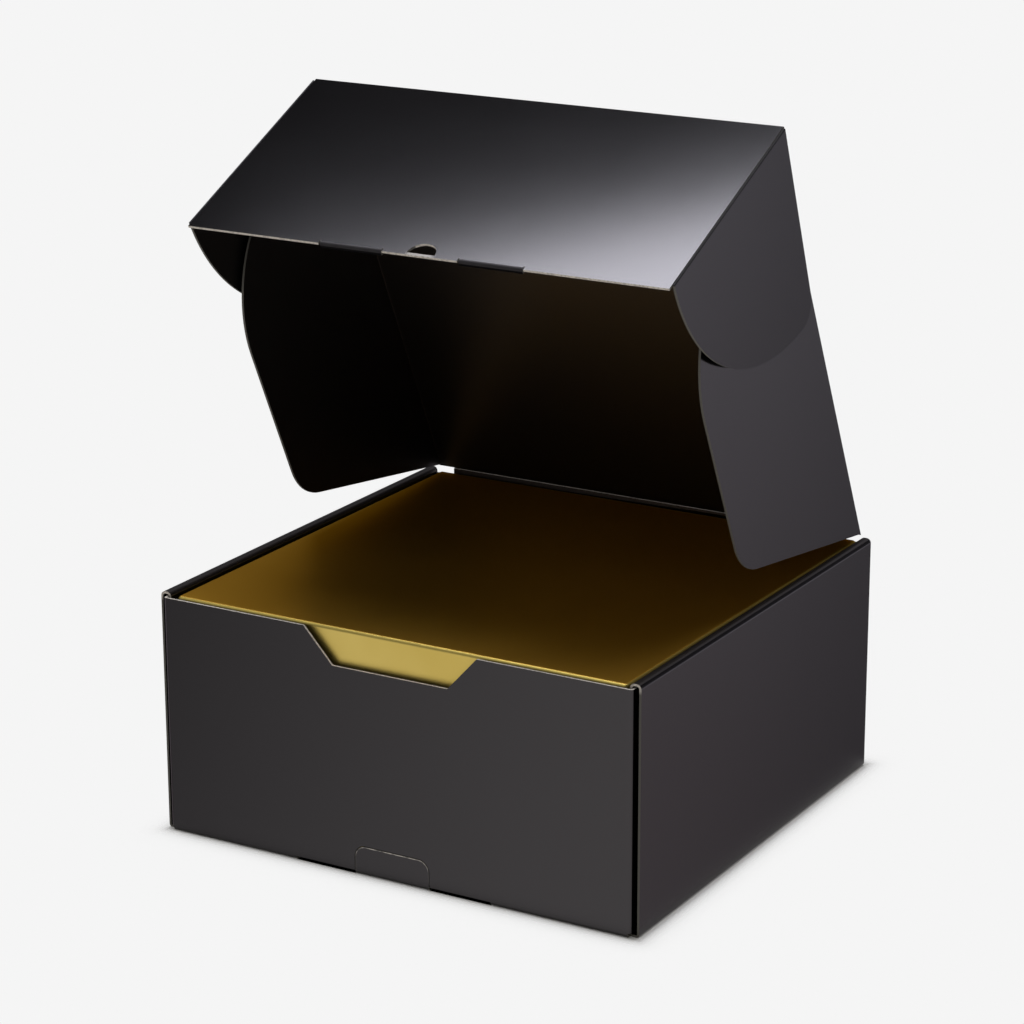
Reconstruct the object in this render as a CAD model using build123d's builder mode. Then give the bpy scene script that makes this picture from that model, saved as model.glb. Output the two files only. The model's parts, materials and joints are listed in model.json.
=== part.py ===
from build123d import *
import os
from math import cos, radians, sin

# A lock-front shoebox folded from one sheet of board, with its lid part open and a closed carton inside.
# In millimetres: +X to the right seen from the front, front wall towards -Y, +Z up, origin under the middle.

# Board, and the room that its folded sheets leave each other.
board = 1.5  # thickness of the board
crease_radius = 0.6  # inside radius of a fold that stays put
roll_radius = 1.7  # inside radius of the two folds on top of a side wall
crease_gap = 0.3  # room between the two edges of a crease that turns
sheet_gap = 0.6  # room beside each sheet in a hollow side wall
fit_gap = 0.5  # room beside a sheet that slides in or lies over another
kerf = 0.6  # width of a cut in the board

# Tray.
tray_width = 349.0  # over the two side walls
tray_depth = 332.0  # over the front and back walls
tray_height = 163.0  # over the rolled side walls
front_wall_drop = 3.0  # from the side walls' tops down to the front wall's
side_wall_setback = 3.5  # from the front and back walls' outer faces to a side wall's cut ends
side_flap_length = 115.0  # flaps of the front and back walls, tucked into the side walls
corner_relief = 3.0  # height of the tucked flaps' lower edge over the table
floor_tab_length = 40.0  # tabs under the inner walls, in slots of the floor
floor_tab_spacing = 170.0
foot_gap = 0.3  # room under the inner walls and under their tabs

# Thumb notch, lock slots and lock tab of the front wall.
notch_top_width = 126.0
notch_bottom_width = 84.0
notch_depth = 23.0
notch_corner_radius = 2.0
lock_near = 27.5  # from the middle to a slot's inner end
lock_far = 72.0  # from the middle to a slot's outer end
slot_height = 2.2
slot_run = 5.0  # how far a slot goes on into the floor
lock_tab_height = 19.6
lock_tab_radius = 8.0

# Carton that rests in the tray.
carton_front_gap = 4.0
carton_back_gap = 1.5
carton_side_gap = 0.7
carton_rise = 0.4  # height of the carton's top over the front wall
carton_radius = 2.5

# Lid and its dust flaps, with lengths along the lid measured from the hinge.
lid_angle = 64.5  # how far the lid stands open
lid_rest_gap = 0.2  # room between the closed lid and the side walls
hinge_half = 154.0  # half length of the hinge crease
corner_drop = 5.0  # how far the back wall's corners are cut down beside the hinge
dust_foot_gap = 11.0  # from a dust flap's lower edge to the level of the front flap's free edge
dust_rear = 0.5  # from the hinge to a dust flap's rear end, at its root
dust_rear_slope = 99.0  # how far the rear edge runs forward towards its foot
dust_rear_radius = 40.0
dust_front_setback = 25.0  # from the front fold to a dust flap's front edge
dust_front_radius = 86.0

# Front flap with its lock lips and thumb hole, and its ears.
flap_gap = 0.8  # room between the closed flap and the front wall
flap_foot_gap = 0.6  # room between the closed flap and the table
lip_reach = 2.0  # how far a lock lip stands in from the flap's inner face
lip_end_gap = 0.8  # cut at each end of a lip
thumb_radius = 10.0
thumb_strip = 2.0  # width of the strip that closes the thumb hole below
ear_reach = 137.0
ear_top = 1.5  # from the front fold to an ear's upper end
ear_tip_drop = 9.0  # from the lid to the corner of an ear's tip
ear_tip_radius = 16.0
ear_foot_gap = 3.5  # from an ear's lower end to the flap's free edge
ear_lean = 0.9  # degrees that an ear leans in towards its dust flap

# Places that follow from the sizes; sheets are placed by their middle planes.
bend = crease_radius + board / 2
roll_bend = roll_radius + board / 2
pitch = board + sheet_gap
outer_x = tray_width / 2 - board / 2
ear_x = outer_x - pitch
tuck_x = ear_x - pitch
inner_x = tuck_x - pitch
dust_x = inner_x - board - fit_gap
front_y = -tray_depth / 2 + board / 2
back_y = tray_depth / 2 - board / 2
front_wall_height = tray_height - front_wall_drop
hinge_z = tray_height + lid_rest_gap + board / 2
back_wall_height = hinge_z - board / 2 - crease_gap
back_corner_height = tray_height - corner_drop
inner_wall_foot = board + foot_gap
lid_length = tray_depth + flap_gap
lid_end = lid_length - board / 2 - crease_gap
flap_length = hinge_z - flap_foot_gap
flap_half = ear_x - board / 2 - crease_gap
lock_middle = (lock_near + lock_far) / 2
lock_length = lock_far - lock_near
ear_depth = flap_length - ear_foot_gap
dust_depth = flap_length - dust_foot_gap
quarter_turn = 90  # degrees

# Planes: the front wall's face, and the open lid seen from inside, from the side and from its end.
front_face = Plane.XZ.offset(tray_depth / 2)
lid_view = Plane(
    origin=(0, back_y, hinge_z),
    x_dir=(1, 0, 0),
    z_dir=(0, -sin(radians(lid_angle)), -cos(radians(lid_angle))),
)
side_view = Plane(origin=lid_view.origin, x_dir=lid_view.y_dir, z_dir=(1, 0, 0))
end_view = Plane(origin=lid_view.origin, x_dir=(1, 0, 0), z_dir=-lid_view.y_dir)
flap_view = end_view.offset(-lid_length)

os.makedirs("parts", exist_ok=True)

with BuildPart() as base_tray:
    # Front wall, floor and back wall in one bent strip.
    with BuildSketch(Plane.YZ):
        with BuildLine():
            FilletPolyline(
                (front_y, front_wall_height),
                (front_y, board / 2),
                (back_y, board / 2),
                (back_y, back_corner_height),
                radius=bend,
            )
        trace(line_width=board)
    extrude(amount=tuck_x - bend, both=True)
    # Hinge stretch of the back wall.
    with Locations((0, back_y, back_corner_height)):
        Box(
            2 * hinge_half,
            board,
            back_wall_height - back_corner_height,
            align=(Align.CENTER, Align.CENTER, Align.MIN),
        )
    # Flaps at the ends of the front and back walls, turned in to lie inside the side walls.
    for wall_y, tip_y, top_z in (
        (front_y, front_y + side_flap_length, front_wall_height),
        (back_y, back_y - side_flap_length, back_corner_height),
    ):
        with BuildSketch(Plane.XY.offset(corner_relief)):
            with BuildLine():
                FilletPolyline(
                    (-tuck_x, tip_y),
                    (-tuck_x, wall_y),
                    (tuck_x, wall_y),
                    (tuck_x, tip_y),
                    radius=bend,
                )
            trace(line_width=board)
        extrude(amount=top_z - corner_relief)
    # Side walls, rolled over on top and down again inside.
    for side in (-1, 1):
        with BuildSketch(Plane.XZ):
            with BuildLine():
                FilletPolyline(
                    (0, board / 2),
                    (side * outer_x, board / 2),
                    (side * outer_x, tray_height - board / 2),
                    (side * inner_x, tray_height - board / 2),
                    (side * inner_x, inner_wall_foot),
                    radius=(bend, roll_bend, roll_bend),
                )
            trace(line_width=board)
        extrude(amount=tray_depth / 2 - side_wall_setback, both=True)
    # Tabs of the inner walls in slots of the floor.
    with GridLocations(2 * inner_x, floor_tab_spacing, 2, 2):
        Box(
            board + 2 * foot_gap,
            floor_tab_length + 2 * foot_gap,
            inner_wall_foot,
            align=(Align.CENTER, Align.CENTER, Align.MIN),
            mode=Mode.SUBTRACT,
        )
    with Locations((0, 0, foot_gap)):
        with GridLocations(2 * inner_x, floor_tab_spacing, 2, 2):
            Box(
                board,
                floor_tab_length,
                inner_wall_foot - foot_gap,
                align=(Align.CENTER, Align.CENTER, Align.MIN),
            )
    # Thumb notch.
    with BuildSketch(front_face):
        with BuildLine():
            rim = FilletPolyline(
                (-notch_top_width / 2, front_wall_height),
                (-notch_bottom_width / 2, front_wall_height - notch_depth),
                (notch_bottom_width / 2, front_wall_height - notch_depth),
                (notch_top_width / 2, front_wall_height),
                radius=notch_corner_radius,
            )
            Line(rim @ 1, rim @ 0)
        make_face()
    extrude(amount=-board, mode=Mode.SUBTRACT)
    # Lock slots through the front bottom fold.
    with Locations((-lock_middle, -tray_depth / 2), (lock_middle, -tray_depth / 2)):
        Box(
            lock_length,
            board + slot_run,
            slot_height,
            align=(Align.CENTER, Align.MIN, Align.MIN),
            mode=Mode.SUBTRACT,
        )
    # Cut round the lock tab, from slot to slot.
    with BuildSketch(front_face):
        with BuildLine():
            FilletPolyline(
                (-lock_near, slot_height / 2),
                (-lock_near, lock_tab_height),
                (lock_near, lock_tab_height),
                (lock_near, slot_height / 2),
                radius=lock_tab_radius,
            )
        trace(line_width=kerf)
    extrude(amount=-board, mode=Mode.SUBTRACT)
base_tray.part.label = "base_tray"
export_step(base_tray.part, "parts/base_tray.step")

with BuildPart() as inner_carton:
    # Closed carton that stands on the floor, clear of the dust flaps' way.
    with Locations((0, -tray_depth / 2 + board + carton_front_gap, board)):
        Box(
            2 * dust_x - board - 2 * carton_side_gap,
            tray_depth - 2 * board - carton_front_gap - carton_back_gap,
            front_wall_height + carton_rise - board,
            align=(Align.CENTER, Align.MIN, Align.MIN),
        )
    fillet(inner_carton.edges(), radius=carton_radius)
inner_carton.part.label = "inner_carton"
export_step(inner_carton.part, "parts/inner_carton.step")

with BuildPart() as lid:
    # Panel with both dust flaps folded down, as a long channel.
    with BuildSketch(end_view.offset(-lid_end)):
        with BuildLine():
            FilletPolyline(
                (-dust_x, dust_depth),
                (-dust_x, 0),
                (dust_x, 0),
                (dust_x, dust_depth),
                radius=bend,
            )
        trace(line_width=board)
    extrude(amount=lid_end)
    # Outline of panel and dust flaps, seen from the side.
    with BuildSketch(side_view):
        Rectangle(lid_end, board, align=(Align.MIN, Align.CENTER))
        with BuildLine():
            edge = FilletPolyline(
                (dust_rear, 0),
                (dust_rear + dust_rear_slope, dust_depth),
                (lid_length - dust_front_setback, dust_depth),
                (lid_length - dust_front_setback, 0),
                radius=(dust_rear_radius, dust_front_radius),
            )
            Line(edge @ 1, edge @ 0)
        make_face()
    extrude(amount=tray_width, both=True, mode=Mode.INTERSECT)
    # Rounded edge of the hinge stretch, which turns over the back wall.
    with BuildSketch(side_view):
        Circle(board / 2)
    extrude(amount=hinge_half, both=True)
lid.part.label = "lid"
export_step(lid.part, "parts/lid.step")

with BuildPart() as front_flap:
    # Panel with the rounded edge that turns at the lid's front end.
    with BuildSketch(side_view):
        with Locations((lid_length, 0)):
            Rectangle(board, flap_length, align=(Align.CENTER, Align.MIN))
            Circle(board / 2)
    extrude(amount=flap_half, both=True)
    # Room for the lock lips in the free edge.
    with BuildSketch(flap_view):
        with Locations((-lock_middle, flap_length), (lock_middle, flap_length)):
            Rectangle(
                lock_length + 2 * lip_end_gap,
                bend + board,
                align=(Align.CENTER, Align.MAX),
            )
    extrude(amount=board, both=True, mode=Mode.SUBTRACT)
    # Lock lips, bent in at a right angle.
    for side in (-1, 1):
        with BuildSketch(side_view.offset(side * lock_middle)):
            with BuildLine():
                FilletPolyline(
                    (lid_length, flap_length - 2 * (bend + board)),
                    (lid_length, flap_length - board / 2),
                    (lid_length - board / 2 - lip_reach, flap_length - board / 2),
                    radius=bend,
                )
            trace(line_width=board)
        extrude(amount=lock_length / 2, both=True)
    # Thumb hole, a half-moon over a narrow strip.
    with BuildSketch(flap_view):
        with BuildLine():
            moon = CenterArc((0, flap_length - thumb_strip), thumb_radius, 180, 180)
            Line(moon @ 1, moon @ 0)
        make_face()
    extrude(amount=board, both=True, mode=Mode.SUBTRACT)
front_flap.part.label = "front_flap"
export_step(front_flap.part, "parts/front_flap.step")

for side, name in ((-1, "left_ear"), (1, "right_ear")):
    with BuildPart() as ear:
        # Plate with the rounded edge that turns at the flap's end, leaning in on the dust flap.
        with BuildSketch(lid_view):
            with Locations(Location((side * ear_x, lid_length), -side * ear_lean)):
                Rectangle(board, ear_reach, align=(Align.CENTER, Align.MAX))
                Circle(board / 2)
        extrude(amount=ear_depth)
        # Outline: nearly straight beside the lid, a quarter of an ellipse below.
        with BuildSketch(side_view) as outline:
            with BuildLine():
                curve = EllipticalCenterArc(
                    (lid_length, ear_tip_drop),
                    ear_reach,
                    ear_depth - ear_tip_drop,
                    start_angle=quarter_turn,
                    arc_size=quarter_turn,
                )
                Polyline(
                    curve @ 1,
                    (lid_length, ear_top),
                    (lid_length + board, ear_top),
                    (lid_length + board, ear_depth),
                    curve @ 0,
                )
            make_face()
            fillet(outline.vertices().sort_by(Axis.X)[0], radius=ear_tip_radius)
        extrude(amount=tray_width, both=True, mode=Mode.INTERSECT)
    ear.part.label = name
    export_step(ear.part, f"parts/{name}.step")
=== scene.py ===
import json

import bpy
from mathutils import Matrix, Vector
from mathutils.bvhtree import BVHTree

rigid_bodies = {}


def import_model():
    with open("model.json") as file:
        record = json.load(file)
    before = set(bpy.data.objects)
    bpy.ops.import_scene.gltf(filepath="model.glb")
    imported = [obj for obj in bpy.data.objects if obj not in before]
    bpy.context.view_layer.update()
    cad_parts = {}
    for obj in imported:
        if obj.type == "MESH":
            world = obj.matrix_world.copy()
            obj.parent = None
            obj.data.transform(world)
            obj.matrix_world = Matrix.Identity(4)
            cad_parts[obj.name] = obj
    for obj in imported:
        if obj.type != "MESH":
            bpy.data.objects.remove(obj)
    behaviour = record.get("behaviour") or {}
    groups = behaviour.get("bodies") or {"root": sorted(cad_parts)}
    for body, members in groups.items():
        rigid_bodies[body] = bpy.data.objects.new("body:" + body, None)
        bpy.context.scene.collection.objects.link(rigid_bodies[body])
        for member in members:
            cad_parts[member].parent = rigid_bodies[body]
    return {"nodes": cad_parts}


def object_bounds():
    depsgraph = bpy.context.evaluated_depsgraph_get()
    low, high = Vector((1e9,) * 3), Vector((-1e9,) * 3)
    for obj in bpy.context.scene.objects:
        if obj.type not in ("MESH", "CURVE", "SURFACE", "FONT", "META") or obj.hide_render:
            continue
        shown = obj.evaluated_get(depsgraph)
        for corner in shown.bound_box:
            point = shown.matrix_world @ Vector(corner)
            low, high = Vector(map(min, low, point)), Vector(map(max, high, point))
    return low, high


bl_info = {
    "name": "Folding shoebox",
    "version": (1, 0, 0),
    "blender": (4, 5, 0),
    "location": "3D View > Sidebar > Shoebox",
    "description": "Finishes the black mailer and its gold carton, and sets the stage for their picture",
    "category": "Object",
}

# The start-up scene is cleared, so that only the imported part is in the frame.
for spare in list(bpy.data.objects):
    bpy.data.objects.remove(spare)

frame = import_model()
cad_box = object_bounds()

# Camera, worked out from the tray's edges in the photograph: its place in metres and its three axes.
CAMERA_PLACE = Vector((1.03449, -1.77749, 0.84227))
CAMERA_RIGHT = Vector((0.862804, 0.505530, -0.002895))
CAMERA_UP = Vector((-0.148590, 0.259069, 0.954361))
CAMERA_BACK = Vector((0.483208, -0.822996, 0.298643))
CAMERA_LENS = 116.158
CAMERA_SENSOR = 36.0

# A point in the middle of the open lid, which its inner faces look at, and the way that its panel faces
# inwards.
LID_MIDDLE = Vector((0.0, -0.02, 0.32))
LID_INWARD = Vector((0.0, -0.9026, -0.4305))

# Lock slots of the front wall: from the middle of the wall to the middle of a slot, and a slot's length.
SLOT_MIDDLE = 0.04975
SLOT_LENGTH = 0.0445

# Creases that turn, each with a point on its axis and the way that it runs, by the piece with the rounded
# edge.
CREASES = {
    "lid": (Vector((0.0, 0.16525, 0.16395)), Vector((1.0, 0.0, 0.0))),
    "front_flap": (Vector((0.0, 0.021976, 0.46433)), Vector((1.0, 0.0, 0.0))),
    "left_ear": (Vector((-0.17165, 0.021976, 0.46433)), LID_INWARD),
    "right_ear": (Vector((0.17165, 0.021976, 0.46433)), LID_INWARD),
}

# Heights between which the cut edges along the tray's rim get a painted highlight for the light from above,
# heights that take in a whole edge, and how far that painted highlight fades below and above them, in
# metres.
RIM_HIGHLIGHT_HEIGHTS = (0.1605, 0.1635)
WHOLE_EDGE = (0.0, 1.0)
HIGHLIGHT_FADE_BELOW = 0.004
HIGHLIGHT_FADE_ABOVE = 0.001

# Height above which the tray's upward cut edges, as along its front and its thumb notch, get the pale
# painted highlight of the light from above, in metres, and how far up such an edge faces.
FRONT_RIM = 0.13
RIM_FACING = 0.3

# How far along the lid's inward way a face looks that counts as facing inwards, and between which values the
# round bend of a lock lip lies.
INWARD_FACING = 0.7
LIP_BEND = (0.05, 0.99)

# Test for a cut edge, in parts of the board: where the rays start, how deep the board is behind the edge and
# how much of the board's thickness the face spans. The rays across it are an even turn apart.
EDGE_START = 0.02
EDGE_DEPTH = 1.6
EDGE_INSIDE = 0.1
EDGE_SPAN = 0.7
EDGE_RAYS = 12
EDGE_TURN = 0.5236

# Reach of a crease's rounded edge from its axis, in parts of the board.
CREASE_REACH = 0.55

# Material slots of a folded piece, in the order in which they are filled.
PRINT_SLOT, CUT_EDGE_SLOT, INSIDE_SLOT, HIGHLIGHT_EDGE_SLOT, CREASE_SLOT, LIP_SLOT = range(6)

# Specular levels of the varnish, the bare print inside the lid, the creases, the lips' bends and the paper.
VARNISH_SHINE = 0.58
INSIDE_SHINE = 1.0
CREASE_SHINE = 0.2
LIP_SHINE = 0.5
PAPER_SHINE = 0.2

# Tints of the shine on the varnish, on the bare print and, at a grazing angle, on the foil.
VARNISH_TINT = (1.0, 0.92, 0.95)
INSIDE_TINT = (1.0, 0.89, 0.83)
FOIL_TINT = (0.88, 0.50, 0.15)

# Sizes of the soft patches and waves on the print and the foil, of the foil's grain and of the frays that
# break up the painted highlight round the lock tab, in metres.
PRINT_PATCH = 0.05
PRINT_WAVE = 0.12
FOIL_PATCH = 0.06
FOIL_WAVE = 0.07
FOIL_GRAIN = 0.0006
TAB_HIGHLIGHT_FRAY = 0.004

# Depths of those waves, of the fine grain on print and foil, and of the flutes' hollows, in metres.
PRINT_WAVE_DEPTH = 0.0004
FOIL_WAVE_DEPTH = 0.0006
GRAIN_DEPTH = 0.00005
FLUTE_DEPTH = 0.0003

# Values between which most of a noise lies.
NOISE_LOW = 0.3
NOISE_HIGH = 0.7

# Depths under a flat face between which its own colour gives way to that of the edges, in metres.
SKIN_NEAR = 0.0001
SKIN_FAR = 0.0004

# Side of the floor, and how the painted shadow under the box, black on the floor, starts and ends inside its
# outline and at a lock slot, in metres.
FLOOR_SIZE = 4.0
SHADOW_UNDER_BOX = (-0.006, -0.003)
SHADOW_AT_SLOT = (-0.0006, -0.0001)
SLOT_BLUR = 0.0003

# Room that the varnish and the foil reflect. Each pair is where a change starts and ends, along one axis of
# the direction: pale in front and shaded behind, along Y, and shaded on the left too, along X.
ROOM_BEHIND = (-0.4, 0.8)
ROOM_BESIDE = (-0.63, -0.45)

# Brighter stretches of its shaded part: at the left, at the right up to a low height, further right at all
# heights, and straight behind, along X or Z, and the share of that last one.
ROOM_LEFT = (-0.74, -0.64)
ROOM_RIGHT = (0.385, 0.430)
ROOM_RIGHT_LOW = (-0.16, -0.10)
ROOM_FAR_RIGHT = (0.58, 0.68)
ROOM_STRAIGHT = (0.14, 0.26)
STRAIGHT_SHARE = 0.5

# Where its backdrop turns brighter and its ceiling and its lower dark begin, along Z, and where and to which
# share the ceiling gives way behind the box, along Y.
ROOM_HIGH = (-0.37, -0.22)
ROOM_ABOVE = (0.02, 0.35)
ROOM_BELOW = (-0.75, -0.55)
ROOM_BACK = (0.5, 0.7)
BACK_SHARE = 0.25

# Where the soft glow high in front of the box is, as a direction from it, and how its edge fades with the
# cosine of the angle from there.
GLOW_DIRECTION = Vector((-0.459, -0.396, 0.797))
GLOW_EDGE = (0.84, 0.96)

# Heights of a direction between which the even light grows from its level to its strength above, and between
# which the light from the floor dies away.
FILL_RISE = (-0.1, 0.9)
FILL_BOUNCE = (-0.3, 0.0)


class BoardFinish(bpy.types.PropertyGroup):
    """Black printed board of the mailer."""

    print_colour: bpy.props.FloatVectorProperty(
        name="Print colour",
        description="Colour of the black print on both faces of the board",
        subtype="COLOR",
        min=0.0,
        max=1.0,
        default=(0.0006, 0.0005, 0.0005),
    )
    rubbed_colour: bpy.props.FloatVectorProperty(
        name="Rubbed colour",
        description="Colour of the print where it is a little rubbed or the paper shows through",
        subtype="COLOR",
        min=0.0,
        max=1.0,
        default=(0.0024, 0.0020, 0.0021),
    )
    print_roughness: bpy.props.FloatProperty(
        name="Print roughness",
        description="Roughness of the satin varnish over the print",
        subtype="FACTOR",
        min=0.0,
        max=1.0,
        default=0.165,
    )
    inside_roughness: bpy.props.FloatProperty(
        name="Inside roughness",
        description="Roughness of the print inside the lid, which has no varnish",
        subtype="FACTOR",
        min=0.0,
        max=1.0,
        default=0.40,
    )
    crease_roughness: bpy.props.FloatProperty(
        name="Crease roughness",
        description="Roughness of the print where it is worn dull along the creases that turn",
        subtype="FACTOR",
        min=0.0,
        max=1.0,
        default=0.6,
    )
    fibre_size: bpy.props.FloatProperty(
        name="Fibre size",
        description="Size of the paper fibres that show through the print",
        unit="LENGTH",
        min=0.0001,
        default=0.0007,
    )
    # The pale paper colour is a painted highlight: on cut edges along the tray's rim and at the front flap's
    # free edge that catch the light, on the line round the lock tab, and on the strip under the thumb hole,
    # which is also partly rubbed paper.
    paper_colour: bpy.props.FloatVectorProperty(
        name="Paper colour",
        description="Colour of the bare paper where the cut edges are rubbed by hands",
        subtype="COLOR",
        min=0.0,
        max=1.0,
        default=(0.66, 0.60, 0.52),
    )
    # Darker colour of the cut edges that are not given the pale painted highlight.
    edge_colour: bpy.props.FloatVectorProperty(
        name="Edge colour",
        description="Colour of the other cut edges, which the print has darkened",
        subtype="COLOR",
        min=0.0,
        max=1.0,
        default=(0.12, 0.112, 0.096),
    )
    board: bpy.props.FloatProperty(
        name="Board",
        description="Thickness of the board",
        unit="LENGTH",
        min=0.0005,
        default=0.0015,
    )
    tab_half: bpy.props.FloatProperty(
        name="Tab half width",
        description="From the middle of the front wall to the side of its lock tab",
        unit="LENGTH",
        min=0.001,
        default=0.0275,
    )
    tab_height: bpy.props.FloatProperty(
        name="Tab height",
        description="From the table to the top of the lock tab",
        unit="LENGTH",
        min=0.001,
        default=0.0196,
    )
    tab_radius: bpy.props.FloatProperty(
        name="Tab radius",
        description="Radius of the lock tab's corners",
        unit="LENGTH",
        min=0.0005,
        default=0.008,
    )
    strip: bpy.props.FloatProperty(
        name="Strip",
        description="Width of the strip under the front flap's thumb hole",
        unit="LENGTH",
        min=0.0005,
        default=0.002,
    )
    strip_half: bpy.props.FloatProperty(
        name="Strip half length",
        description="From the middle of the front flap to the end of that strip",
        unit="LENGTH",
        min=0.001,
        default=0.011,
    )


class FoilFinish(bpy.types.PropertyGroup):
    """Gold foil of the carton."""

    foil_colour: bpy.props.FloatVectorProperty(
        name="Foil colour",
        description="Colour of the gold foil",
        subtype="COLOR",
        min=0.0,
        max=1.0,
        default=(0.80, 0.61, 0.17),
    )
    foil_shade: bpy.props.FloatVectorProperty(
        name="Foil shade",
        description="Colour of the foil where it is a little deeper",
        subtype="COLOR",
        min=0.0,
        max=1.0,
        default=(0.74, 0.55, 0.135),
    )
    # Painted reflection: the top panel is given a deeper, more orange colour than the sides, for the dark
    # lid above that it reflects.
    top_reflection_colour: bpy.props.FloatVectorProperty(
        name="Top colour",
        description="Deeper colour of the foil on the top panel",
        subtype="COLOR",
        min=0.0,
        max=1.0,
        default=(0.66, 0.375, 0.055),
    )
    # Painted shade: the carton's rounded upper edges are given this duller colour, which dims the highlight
    # that they catch.
    edge_colour: bpy.props.FloatVectorProperty(
        name="Edge colour",
        description="Colour of the foil where it is worn along the carton's upper edges",
        subtype="COLOR",
        min=0.0,
        max=1.0,
        default=(0.50, 0.385, 0.105),
    )
    edge_radius: bpy.props.FloatProperty(
        name="Edge radius",
        description="Radius of the carton's rounded edges",
        unit="LENGTH",
        min=0.0005,
        default=0.0025,
    )
    foil_roughness: bpy.props.FloatProperty(
        name="Foil roughness",
        description="Roughness of the foil",
        subtype="FACTOR",
        min=0.0,
        max=1.0,
        default=0.43,
    )


class StageLook(bpy.types.PropertyGroup):
    """Floor, lights and background of the picture."""

    floor_colour: bpy.props.FloatVectorProperty(
        name="Floor colour",
        description="Colour of the floor under the box",
        subtype="COLOR",
        min=0.0,
        max=1.0,
        default=(0.92, 0.90, 0.86),
    )
    shadow_front: bpy.props.FloatProperty(
        name="Shadow in front",
        description="How far the shadow reaches before and behind the box while it fades to about a third",
        unit="LENGTH",
        min=0.001,
        default=0.0052,
    )
    shadow_side: bpy.props.FloatProperty(
        name="Shadow beside",
        description="How far the shadow reaches beside the box while it fades to about a third",
        unit="LENGTH",
        min=0.001,
        default=0.0045,
    )
    shadow_shift: bpy.props.FloatProperty(
        name="Shadow shift",
        description="How far the shadow is shifted to the right",
        unit="LENGTH",
        default=0.0015,
    )
    background: bpy.props.FloatVectorProperty(
        name="Background",
        description="Colour of the plain background",
        subtype="COLOR",
        min=0.0,
        max=1.0,
        default=(0.913, 0.913, 0.913),
    )
    ceiling: bpy.props.FloatVectorProperty(
        name="Ceiling",
        description="Colour of the dark room above the lamp, as the varnish and the foil reflect it",
        subtype="COLOR",
        min=0.0,
        max=1.0,
        default=(0.018, 0.018, 0.02),
    )
    backdrop: bpy.props.FloatVectorProperty(
        name="Backdrop",
        description="Colour of the shaded room behind the box, as the varnish and the foil reflect it",
        subtype="COLOR",
        min=0.0,
        max=1.0,
        default=(0.36, 0.312, 0.337),
    )
    backdrop_high: bpy.props.FloatVectorProperty(
        name="Backdrop high",
        description="Colour of the brighter upper part of that room",
        subtype="COLOR",
        min=0.0,
        max=1.0,
        default=(0.58, 0.56, 0.625),
    )
    backdrop_dim: bpy.props.FloatVectorProperty(
        name="Backdrop dim",
        description="Colour of the darker stretches of that room",
        subtype="COLOR",
        min=0.0,
        max=1.0,
        default=(0.075, 0.072, 0.082),
    )
    front_glow: bpy.props.FloatVectorProperty(
        name="Front glow",
        description="Colour of the soft light high in front of the box, as the foil reflects it",
        subtype="COLOR",
        min=0.0,
        max=4.0,
        default=(0.66, 0.66, 0.64),
    )
    fill_above: bpy.props.FloatProperty(
        name="Fill above",
        description="Strength of the even light from above",
        min=0.0,
        default=0.5,
    )
    fill_level: bpy.props.FloatProperty(
        name="Fill level",
        description="Strength of the even light from the sides",
        min=0.0,
        default=0.12,
    )
    fill_below: bpy.props.FloatProperty(
        name="Fill below",
        description="Strength of the light that the pale floor throws back",
        min=0.0,
        default=0.8,
    )
    mirror_level: bpy.props.FloatProperty(
        name="Mirror level",
        description="Strength of the room as the varnish and the foil reflect it",
        min=0.0,
        default=1.12,
    )
    key_place: bpy.props.FloatVectorProperty(
        name="Key place",
        description="Place of the soft lamp over the box",
        subtype="TRANSLATION",
        unit="LENGTH",
        default=(-0.080, 0.060, 1.06),
    )
    key_width: bpy.props.FloatProperty(
        name="Key width",
        description="Width of the soft lamp over the box",
        unit="LENGTH",
        min=0.01,
        default=0.87,
    )
    key_depth: bpy.props.FloatProperty(
        name="Key depth",
        description="Depth of the soft lamp over the box",
        unit="LENGTH",
        min=0.01,
        default=0.40,
    )
    key_power: bpy.props.FloatProperty(
        name="Key power",
        description="Power of the soft lamp over the box",
        unit="POWER",
        min=0.0,
        default=10.0,
    )
    key_turn: bpy.props.FloatProperty(
        name="Key turn",
        description="How far the soft lamp is turned, seen from above",
        subtype="ANGLE",
        default=0.367,
    )
    key_colour: bpy.props.FloatVectorProperty(
        name="Key colour",
        description="Colour of the soft lamp over the box",
        subtype="COLOR",
        min=0.0,
        max=1.0,
        default=(0.89, 0.92, 1.0),
    )


def add_node(material_tree, kind, **settings):
    """Add one node to a material and give it its settings."""
    made = material_tree.nodes.new(kind)
    for setting, value in settings.items():
        setattr(made, setting, value)
    return made


def new_material(name):
    """Start a material and give back its nodes, its shader and its object coordinates."""
    material = bpy.data.materials.new(name)
    material.use_nodes = True
    nodes = material.node_tree
    place = add_node(nodes, "ShaderNodeTexCoord").outputs["Object"]
    return material, nodes, nodes.nodes["Principled BSDF"], place


def split(nodes, vector):
    """Give back the three parts of a vector."""
    parts = add_node(nodes, "ShaderNodeSeparateXYZ")
    nodes.links.new(vector, parts.inputs["Vector"])
    return parts.outputs


def vector_step(nodes, operation, first, second=None, output="Vector"):
    """One step of arithmetic on a vector, with a fixed second vector, that gives a vector or a value."""
    step = add_node(nodes, "ShaderNodeVectorMath", operation=operation)
    nodes.links.new(first, step.inputs[0])
    if second is not None:
        step.inputs[1].default_value = second
    return step.outputs[output]


def number_step(nodes, operation, first, second=0.0):
    """One step of arithmetic on a number, with a fixed or a linked second number."""
    step = add_node(nodes, "ShaderNodeMath", operation=operation)
    nodes.links.new(first, step.inputs[0])
    if isinstance(second, float):
        step.inputs[1].default_value = second
    else:
        nodes.links.new(second, step.inputs[1])
    return step.outputs["Value"]


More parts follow.
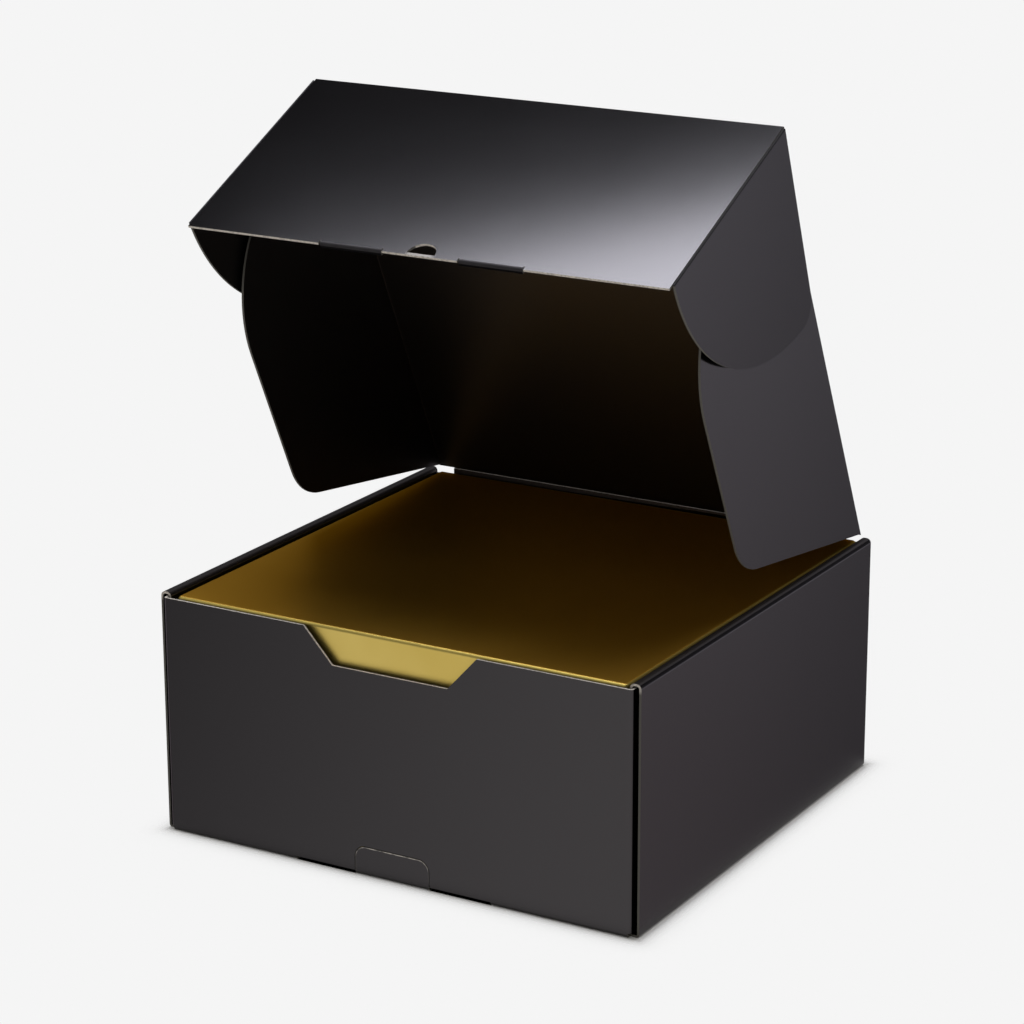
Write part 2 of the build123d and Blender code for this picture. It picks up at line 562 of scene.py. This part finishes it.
def speckle(nodes, place, size, detail=3.0, roughness=0.55):
    """Noise with spots of about the given size in metres."""
    noise = add_node(nodes, "ShaderNodeTexNoise")
    nodes.links.new(place, noise.inputs["Vector"])
    noise.inputs["Scale"].default_value = 1.0 / size
    noise.inputs["Detail"].default_value = detail
    noise.inputs["Roughness"].default_value = roughness
    return noise.outputs["Fac"]


def spread(nodes, factor, low, high, to_low, to_high):
    """Map a stretch of a factor to another stretch, held at its ends."""
    ramp = add_node(nodes, "ShaderNodeMapRange")
    nodes.links.new(factor, ramp.inputs["Value"])
    ramp.inputs["From Min"].default_value = low
    ramp.inputs["From Max"].default_value = high
    ramp.inputs["To Min"].default_value = to_low
    ramp.inputs["To Max"].default_value = to_high
    return ramp.outputs["Result"]


def blend_colours(nodes, factor, first, second):
    """Mix two colours, fixed or linked, by a factor."""
    mix = add_node(nodes, "ShaderNodeMix", data_type="RGBA")
    nodes.links.new(factor, mix.inputs["Factor"])
    for socket, colour in ((mix.inputs["A"], first), (mix.inputs["B"], second)):
        if isinstance(colour, bpy.types.NodeSocket):
            nodes.links.new(colour, socket)
        else:
            socket.default_value = (*colour, 1.0)
    return mix.outputs["Result"]


def raise_bump(nodes, height, strength, depth, below=None):
    """Bump of the given depth in metres, on top of another one."""
    bump = add_node(nodes, "ShaderNodeBump")
    nodes.links.new(height, bump.inputs["Height"])
    bump.inputs["Strength"].default_value = strength
    bump.inputs["Distance"].default_value = depth
    if below:
        nodes.links.new(below, bump.inputs["Normal"])
    return bump.outputs["Normal"]


def tab_edge_highlight(nodes, place, board):
    """Painted highlight along the cut round the lock tab, on the front wall's outer face: a pale frayed line
    for the tab's cut edge catching the light from above, fading towards the bottom.
    """
    sides = split(nodes, place)
    mirrored = vector_step(nodes, "ABSOLUTE", place)
    corner = (board.tab_half - board.tab_radius, 0.0, board.tab_height - board.tab_radius)
    flat = vector_step(nodes, "MULTIPLY", vector_step(nodes, "SUBTRACT", mirrored, corner), (1.0, 0.0, 1.0))
    beyond = vector_step(nodes, "MAXIMUM", flat, (0.0, 0.0, 0.0))
    away = vector_step(nodes, "LENGTH", beyond, output="Value")
    # The line lies a little inside the tab's outline, and its width is a part of the board's thickness.
    middle = board.board * 0.4 - board.tab_radius
    beside = number_step(nodes, "ABSOLUTE", number_step(nodes, "ADD", away, middle))
    line = spread(nodes, beside, board.board * 0.12, board.board * 0.26, 1.0, 0.0)
    frayed = spread(nodes, speckle(nodes, place, TAB_HIGHLIGHT_FRAY, 2.0), 0.38, 0.58, 0.15, 1.0)
    # The painted highlight is strongest at the top, where the light from above falls on the tab's cut edge.
    higher = spread(nodes, sides["Z"], board.tab_height * 0.6, board.tab_height * 0.98, 0.06, 1.0)
    front = spread(nodes, sides["Y"], cad_box[0].y + SKIN_NEAR, cad_box[0].y + SKIN_FAR, 1.0, 0.0)
    tab_highlight = number_step(nodes, "MULTIPLY", number_step(nodes, "MULTIPLY", line, frayed), higher)
    return number_step(nodes, "MULTIPLY", tab_highlight, front)


def strip_highlight_and_wear(nodes, place, board):
    """Where the narrow strip under the thumb hole is painted pale, at the front flap's free edge: partly
    rubbed paper and partly a painted highlight of the light that the strip catches.
    """
    points = [vertex.co for vertex in frame["nodes"]["front_flap"].data.vertices]
    edge = max(point.dot(LID_INWARD) for point in points if abs(point.x) < board.strip_half)
    along = vector_step(nodes, "DOT_PRODUCT", place, LID_INWARD, output="Value")
    across = number_step(nodes, "ABSOLUTE", split(nodes, place)["X"])
    low = spread(nodes, along, edge - board.strip, edge - board.strip * 0.5, 0.0, 0.3)
    middle = spread(nodes, across, board.strip_half * 0.7, board.strip_half, 1.0, 0.0)
    return number_step(nodes, "MULTIPLY", low, middle)


def printed_board(board, name, satin, shine=VARNISH_SHINE, tint=VARNISH_TINT, worn=None):
    """Satin black print over paper, with fine fibres and a few rubbed spots."""
    found = bpy.data.materials.get(name)
    if found:
        return found
    material, nodes, shader, place = new_material(name)
    fibres = speckle(nodes, place, board.fibre_size, 4.0, 0.6)
    patches = speckle(nodes, place, PRINT_PATCH, 2.0)
    rubbed = spread(nodes, fibres, 0.50, 0.78, 0.0, 1.0)
    colour = blend_colours(nodes, rubbed, board.print_colour, board.rubbed_colour)
    # The pale marks passed in as worn are painted highlights: the line round the lock tab, and the strip
    # under the thumb hole, which is also partly rubbed paper.
    if worn:
        colour = blend_colours(nodes, worn(nodes, place, board), colour, board.paper_colour)
    nodes.links.new(colour, shader.inputs["Base Color"])
    roughness = spread(nodes, patches, NOISE_LOW, NOISE_HIGH, satin - 0.003, satin + 0.004)
    nodes.links.new(roughness, shader.inputs["Roughness"])
    shader.inputs["Specular IOR Level"].default_value = shine
    shader.inputs["Specular Tint"].default_value = (*tint, 1.0)
    waves = raise_bump(nodes, speckle(nodes, place, PRINT_WAVE, 0.0), 0.02, PRINT_WAVE_DEPTH)
    nodes.links.new(raise_bump(nodes, fibres, 0.10, GRAIN_DEPTH, waves), shader.inputs["Normal"])
    return material


def cut_edge(board, name, low, high):
    """Bare paper of a cut edge with the hollows of its flutes, and a pale painted highlight between the two
    heights.
    """
    found = bpy.data.materials.get(name)
    if found:
        return found
    material, nodes, shader, place = new_material(name)
    flutes = speckle(nodes, place, board.board, 1.0)
    hollows = spread(nodes, flutes, 0.46, 0.60, 1.0, 0.6)
    height = split(nodes, place)["Z"]
    # The pale share is a painted highlight of the light from above, weaker in the flutes' hollows.
    risen = spread(nodes, height, low - HIGHLIGHT_FADE_BELOW, low, 0.0, 1.0)
    capped = spread(nodes, height, high, high + HIGHLIGHT_FADE_ABOVE, 1.0, 0.0)
    rubbed = number_step(nodes, "MULTIPLY", number_step(nodes, "MULTIPLY", risen, capped), hollows)
    colour = blend_colours(nodes, rubbed, board.edge_colour, board.paper_colour)
    nodes.links.new(colour, shader.inputs["Base Color"])
    roughness = spread(nodes, flutes, NOISE_LOW, NOISE_HIGH, 0.80, 0.95)
    nodes.links.new(roughness, shader.inputs["Roughness"])
    shader.inputs["Specular IOR Level"].default_value = PAPER_SHINE
    nodes.links.new(raise_bump(nodes, flutes, 0.4, FLUTE_DEPTH), shader.inputs["Normal"])
    return material


def gold_foil(foil):
    """Soft gold foil on card, with painted shade on its rounded upper edges and a painted reflection that
    makes it deeper on top, with faint waves and grain.
    """
    material, nodes, shader, place = new_material("foil_on_card")
    grain = speckle(nodes, place, FOIL_GRAIN, 3.0)
    patches = speckle(nodes, place, FOIL_PATCH, 2.0)
    drift = spread(nodes, patches, 0.35, 0.65, 0.0, 1.0)
    colour = blend_colours(nodes, drift, foil.foil_colour, foil.foil_shade)
    height = split(nodes, place)["Z"]
    top = frame["nodes"]["inner_carton"].bound_box[1][2]
    # Painted shade dims the highlight on the rounded upper edges.
    on_edge = spread(nodes, height, top - foil.edge_radius, top - foil.edge_radius * 0.7, 0.0, 1.0)
    colour = blend_colours(nodes, on_edge, colour, foil.edge_colour)
    # Painted reflection: the top panel is deeper, for the dark lid above it.
    on_top = spread(nodes, height, top - SKIN_FAR, top - SKIN_NEAR, 0.0, 1.0)
    nodes.links.new(blend_colours(nodes, on_top, colour, foil.top_reflection_colour), shader.inputs["Base Color"])
    shader.inputs["Metallic"].default_value = 1.0
    shader.inputs["Specular Tint"].default_value = (*FOIL_TINT, 1.0)
    satin = foil.foil_roughness
    roughness = spread(nodes, patches, NOISE_LOW, NOISE_HIGH, satin - 0.015, satin + 0.02)
    nodes.links.new(roughness, shader.inputs["Roughness"])
    waves = raise_bump(nodes, speckle(nodes, place, FOIL_WAVE, 1.0), 0.14, FOIL_WAVE_DEPTH)
    nodes.links.new(raise_bump(nodes, grain, 0.08, GRAIN_DEPTH, waves), shader.inputs["Normal"])
    return material


def is_cut_edge(face, corners, tree, board):
    """Tell whether a face is a cut edge: the board is deep behind it, and it spans the board's thickness."""
    start = face.center - face.normal * board * EDGE_START
    depth = tree.ray_cast(start, -face.normal)[3]
    if depth is None or depth < board * EDGE_DEPTH:
        return False
    inner = face.center - face.normal * board * EDGE_INSIDE
    side = face.normal.orthogonal().normalized()
    nearest = None
    for step in range(EDGE_RAYS):
        turn = Matrix.Rotation(step * EDGE_TURN, 3, face.normal)
        hit = tree.ray_cast(inner, turn @ side)
        if hit[0] is not None and (nearest is None or hit[3] < nearest[3]):
            nearest = hit
    across = [corner.dot(nearest[1]) for corner in corners]
    return max(across) - min(across) > board * EDGE_SPAN


def is_crease(face, point, direction, board):
    """Tell whether a face belongs to the rounded edge that turns in a crease."""
    away = face.center - point
    return (away - direction * away.dot(direction)).length < board * CREASE_REACH


def is_lip_bend(face):
    """Tell whether a face of the front flap belongs to the round bend of a lock lip."""
    beside = abs(abs(face.center.x) - SLOT_MIDDLE) < SLOT_LENGTH / 2
    return beside and LIP_BEND[0] < face.normal.dot(LID_INWARD) < LIP_BEND[1]


def choose_slot(node_name, face, corners, tree, board):
    """Choose a face's material slot by where it lies on its piece and how it faces."""
    on_flap = node_name == "front_flap"
    facing_in = face.normal.dot(LID_INWARD) > INWARD_FACING
    between_lips = abs(face.center.x) < SLOT_MIDDLE - SLOT_LENGTH / 2
    if node_name in CREASES and is_crease(face, *CREASES[node_name], board):
        return CREASE_SLOT
    if on_flap and is_lip_bend(face):
        return LIP_SLOT
    # The front flap's free edge between the lips, and its cut edges that face the same way, get the pale
    # painted highlight of edges that catch the lamp.
    if on_flap and facing_in and between_lips:
        return HIGHLIGHT_EDGE_SLOT
    if is_cut_edge(face, corners, tree, board):
        # The tray's upward cut edges near its top get the pale painted highlight of the light from above.
        on_rim = node_name == "base_tray" and face.normal.z > RIM_FACING and face.center.z > FRONT_RIM
        return HIGHLIGHT_EDGE_SLOT if on_rim or (on_flap and facing_in) else CUT_EDGE_SLOT
    if face.center.z > LID_MIDDLE.z / 2 and face.normal.dot(LID_MIDDLE - face.center) > 0:
        return INSIDE_SLOT
    return PRINT_SLOT


def dress_board(node_name, print_material, board):
    """Give a folded piece its print, and its cut edges, inside, creases and lips their own finish."""
    mesh = frame["nodes"][node_name].data
    mesh.materials.clear()
    for material in (
        print_material,
        cut_edge(board, "cut_edge", *RIM_HIGHLIGHT_HEIGHTS),
        printed_board(board, "inside_print", board.inside_roughness, INSIDE_SHINE, INSIDE_TINT),
        # Pale paper over the whole edge: a painted highlight for the edges that catch the light.
        cut_edge(board, "highlight_edge", *WHOLE_EDGE),
        printed_board(board, "crease_print", board.crease_roughness, CREASE_SHINE),
        printed_board(board, "lip_print", board.crease_roughness, LIP_SHINE),
    ):
        mesh.materials.append(material)
    points = [vertex.co for vertex in mesh.vertices]
    tree = BVHTree.FromPolygons(points, [face.vertices[:] for face in mesh.polygons])
    for face in mesh.polygons:
        corners = [points[index] for index in face.vertices]
        face.material_index = choose_slot(node_name, face, corners, tree, board.board)


class SHOEBOX_OT_dress_tray(bpy.types.Operator):
    """Finish the one-sheet tray with its rolled walls and tucked flaps."""

    bl_idname = "shoebox.dress_tray"
    bl_label = "Dress tray"

    def execute(self, context):
        board = context.scene.shoebox_board
        tray_print = printed_board(board, "tray_print", board.print_roughness, worn=tab_edge_highlight)
        dress_board("base_tray", tray_print, board)
        return {"FINISHED"}


class SHOEBOX_OT_dress_lid(bpy.types.Operator):
    """Finish the lid with its dust flaps, and the flap that hangs from its front edge."""

    bl_idname = "shoebox.dress_lid"
    bl_label = "Dress lid"

    def execute(self, context):
        board = context.scene.shoebox_board
        lid_print = printed_board(board, "lid_print", board.print_roughness)
        dress_board("lid", lid_print, board)
        flap_print = printed_board(board, "flap_print", board.print_roughness, worn=strip_highlight_and_wear)
        dress_board("front_flap", flap_print, board)
        return {"FINISHED"}


class SHOEBOX_OT_dress_ears(bpy.types.Operator):
    """Finish the two rounded ears of the front flap."""

    bl_idname = "shoebox.dress_ears"
    bl_label = "Dress ears"

    def execute(self, context):
        board = context.scene.shoebox_board
        ear_print = printed_board(board, "ear_print", board.print_roughness)
        dress_board("left_ear", ear_print, board)
        dress_board("right_ear", ear_print, board)
        return {"FINISHED"}


class SHOEBOX_OT_dress_carton(bpy.types.Operator):
    """Finish the gold carton in the tray."""

    bl_idname = "shoebox.dress_carton"
    bl_label = "Dress carton"

    def execute(self, context):
        mesh = frame["nodes"]["inner_carton"].data
        mesh.materials.clear()
        mesh.materials.append(gold_foil(context.scene.shoebox_foil))
        return {"FINISHED"}


def floor_material(stage):
    """Pale matt floor, with a painted black shadow under the box, that fades into the background away from
    it.
    """
    material, nodes, shader, place = new_material("pale_floor")
    shader.inputs["Roughness"].default_value = 0.95
    shader.inputs["Specular IOR Level"].default_value = 0.0
    shifted = vector_step(nodes, "SUBTRACT", place, (stage.shadow_shift, 0.0, 0.0))
    mirrored = vector_step(nodes, "ABSOLUTE", shifted)
    beyond = vector_step(nodes, "SUBTRACT", mirrored, (cad_box[1].x, cad_box[1].y, 0.0))
    sides = split(nodes, beyond)
    nearest = number_step(nodes, "MAXIMUM", sides["X"], sides["Y"])
    # Painted shadow: the floor is black inside the box's outline and behind the lock slots.
    under_box = spread(nodes, nearest, *SHADOW_UNDER_BOX, 0.0, 1.0)
    across = number_step(nodes, "ABSOLUTE", split(nodes, place)["X"])
    along = number_step(nodes, "ABSOLUTE", number_step(nodes, "SUBTRACT", across, SLOT_MIDDLE))
    slot_end = SLOT_LENGTH / 2
    beside_slot = spread(nodes, along, slot_end - SLOT_BLUR, slot_end + SLOT_BLUR, 0.0, 1.0)
    before_slot = spread(nodes, nearest, *SHADOW_AT_SLOT, 0.0, 1.0)
    by_slot = number_step(nodes, "MAXIMUM", beside_slot, before_slot)
    pale = number_step(nodes, "MINIMUM", under_box, by_slot)
    colour = blend_colours(nodes, pale, (0.0, 0.0, 0.0), stage.floor_colour)
    nodes.links.new(colour, shader.inputs["Base Color"])
    outside = vector_step(nodes, "MAXIMUM", beyond, (0.0, 0.0, 0.0))
    scaled = vector_step(nodes, "DIVIDE", outside, (stage.shadow_side, stage.shadow_front, 1.0))
    reach = vector_step(nodes, "LENGTH", scaled, output="Value")
    fade = number_step(nodes, "EXPONENT", number_step(nodes, "MULTIPLY", reach, -1.0))
    clear = add_node(nodes, "ShaderNodeBsdfTransparent")
    mix = add_node(nodes, "ShaderNodeMixShader")
    nodes.links.new(fade, mix.inputs["Fac"])
    nodes.links.new(clear.outputs["BSDF"], mix.inputs[1])
    nodes.links.new(shader.outputs["BSDF"], mix.inputs[2])
    nodes.links.new(mix.outputs["Shader"], nodes.nodes["Material Output"].inputs["Surface"])
    return material


def reflected_room(nodes, view, stage):
    """Colour of the room by direction, as the varnish and the foil reflect it."""
    direction = split(nodes, view)
    behind = spread(nodes, direction["Y"], *ROOM_BEHIND, 0.0, 1.0)
    beside = spread(nodes, direction["X"], *ROOM_BESIDE, 1.0, 0.0)
    shaded = number_step(nodes, "MAXIMUM", behind, beside)
    low = spread(nodes, direction["Z"], *ROOM_RIGHT_LOW, 1.0, 0.0)
    far_right = spread(nodes, direction["X"], *ROOM_FAR_RIGHT, 0.0, 1.0)
    open_right = number_step(nodes, "MAXIMUM", low, far_right)
    right = number_step(nodes, "MULTIPLY", spread(nodes, direction["X"], *ROOM_RIGHT, 0.0, 1.0), open_right)
    left = spread(nodes, direction["X"], *ROOM_LEFT, 1.0, 0.0)
    across = number_step(nodes, "ABSOLUTE", direction["X"])
    straight = spread(nodes, across, *ROOM_STRAIGHT, STRAIGHT_SHARE, 0.0)
    lifted = number_step(nodes, "MAXIMUM", number_step(nodes, "MAXIMUM", right, left), straight)
    higher = spread(nodes, direction["Z"], *ROOM_HIGH, 0.0, 1.0)
    bright = blend_colours(nodes, higher, stage.backdrop, stage.backdrop_high)
    back = blend_colours(nodes, lifted, stage.backdrop_dim, bright)
    around = blend_colours(nodes, shaded, stage.background, back)
    forward = spread(nodes, direction["Y"], *ROOM_BACK, 1.0, BACK_SHARE)
    above = number_step(nodes, "MULTIPLY", spread(nodes, direction["Z"], *ROOM_ABOVE, 0.0, 1.0), forward)
    below = spread(nodes, direction["Z"], *ROOM_BELOW, 1.0, 0.0)
    room = blend_colours(nodes, number_step(nodes, "MAXIMUM", above, below), around, stage.ceiling)
    aim = vector_step(nodes, "DOT_PRODUCT", view, GLOW_DIRECTION, output="Value")
    glow = spread(nodes, aim, *GLOW_EDGE, 0.0, 1.0)
    return blend_colours(nodes, glow, room, stage.front_glow)


def set_background(stage):
    """Even light all round, a plain background for the camera and a shaded room for reflections."""
    world = bpy.data.worlds.new("studio")
    bpy.context.scene.world = world
    world.use_nodes = True
    nodes = world.node_tree
    view = add_node(nodes, "ShaderNodeTexCoord").outputs["Generated"]
    height = split(nodes, view)["Z"]
    level = spread(nodes, height, *FILL_RISE, stage.fill_level, stage.fill_above)
    bounce = spread(nodes, height, *FILL_BOUNCE, stage.fill_below, 0.0)
    fill = nodes.nodes["Background"]
    fill.inputs["Color"].default_value = (1.0, 1.0, 1.0, 1.0)
    nodes.links.new(number_step(nodes, "MAXIMUM", level, bounce), fill.inputs["Strength"])
    mirrored = add_node(nodes, "ShaderNodeBackground")
    nodes.links.new(reflected_room(nodes, view, stage), mirrored.inputs["Color"])
    mirrored.inputs["Strength"].default_value = stage.mirror_level
    seen = add_node(nodes, "ShaderNodeBackground")
    seen.inputs["Color"].default_value = (*stage.background, 1.0)
    path = add_node(nodes, "ShaderNodeLightPath").outputs
    glossy = number_step(nodes, "MAXIMUM", path["Is Glossy Ray"], path["Is Transmission Ray"])
    lit = add_node(nodes, "ShaderNodeMixShader")
    nodes.links.new(glossy, lit.inputs["Fac"])
    nodes.links.new(fill.outputs["Background"], lit.inputs[1])
    nodes.links.new(mirrored.outputs["Background"], lit.inputs[2])
    plain = add_node(nodes, "ShaderNodeMixShader")
    nodes.links.new(path["Is Camera Ray"], plain.inputs["Fac"])
    nodes.links.new(lit.outputs["Shader"], plain.inputs[1])
    nodes.links.new(seen.outputs["Background"], plain.inputs[2])
    nodes.links.new(plain.outputs["Shader"], nodes.nodes["World Output"].inputs["Surface"])


class SHOEBOX_OT_set_stage(bpy.types.Operator):
    """Lay the floor, hang the lamp and place the camera."""

    bl_idname = "shoebox.set_stage"
    bl_label = "Set stage"

    def execute(self, context):
        stage = context.scene.shoebox_stage
        bpy.ops.object.select_all(action="DESELECT")
        bpy.ops.mesh.primitive_plane_add(size=FLOOR_SIZE)
        floor = context.object
        floor.name = "floor"
        floor.data.materials.append(floor_material(stage))
        set_background(stage)
        bpy.ops.object.light_add(type="AREA", location=stage.key_place, rotation=(0.0, 0.0, stage.key_turn))
        key = context.object
        key.name = "key_lamp"
        key.data.shape = "RECTANGLE"
        key.data.size = stage.key_width
        key.data.size_y = stage.key_depth
        key.data.energy = stage.key_power
        key.data.color = stage.key_colour
        bpy.ops.object.camera_add(location=CAMERA_PLACE)
        camera = context.object
        camera.rotation_euler = Matrix((CAMERA_RIGHT, CAMERA_UP, CAMERA_BACK)).transposed().to_euler()
        camera.data.lens = CAMERA_LENS
        camera.data.sensor_width = CAMERA_SENSOR
        context.scene.camera = camera
        context.scene.view_settings.view_transform = "Standard"
        return {"FINISHED"}


class SHOEBOX_PT_panel(bpy.types.Panel):
    """Sidebar panel with the finishes, the pieces and the stage."""

    bl_idname = "SHOEBOX_PT_panel"
    bl_label = "Shoebox"
    bl_space_type = "VIEW_3D"
    bl_region_type = "UI"
    bl_category = "Shoebox"

    def draw(self, context):
        for settings in (
            context.scene.shoebox_board,
            context.scene.shoebox_foil,
            context.scene.shoebox_stage,
        ):
            box = self.layout.box()
            for setting in settings.__annotations__:
                box.prop(settings, setting)
        for operator in OPERATORS:
            self.layout.operator(operator.bl_idname)


OPERATORS = (
    SHOEBOX_OT_dress_tray,
    SHOEBOX_OT_dress_carton,
    SHOEBOX_OT_dress_lid,
    SHOEBOX_OT_dress_ears,
    SHOEBOX_OT_set_stage,
)
CLASSES = (BoardFinish, FoilFinish, StageLook, *OPERATORS, SHOEBOX_PT_panel)


def register():
    """Add the classes and the settings to Blender."""
    for each in CLASSES:
        bpy.utils.register_class(each)
    bpy.types.Scene.shoebox_board = bpy.props.PointerProperty(type=BoardFinish)
    bpy.types.Scene.shoebox_foil = bpy.props.PointerProperty(type=FoilFinish)
    bpy.types.Scene.shoebox_stage = bpy.props.PointerProperty(type=StageLook)


def unregister():
    """Take the settings and the classes out of Blender again."""
    del bpy.types.Scene.shoebox_stage
    del bpy.types.Scene.shoebox_foil
    del bpy.types.Scene.shoebox_board
    for each in reversed(CLASSES):
        bpy.utils.unregister_class(each)


def main():
    """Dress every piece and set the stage."""
    register()
    bpy.ops.shoebox.dress_tray()
    bpy.ops.shoebox.dress_carton()
    bpy.ops.shoebox.dress_lid()
    bpy.ops.shoebox.dress_ears()
    bpy.ops.shoebox.set_stage()


if __name__ == "__main__":
    main()
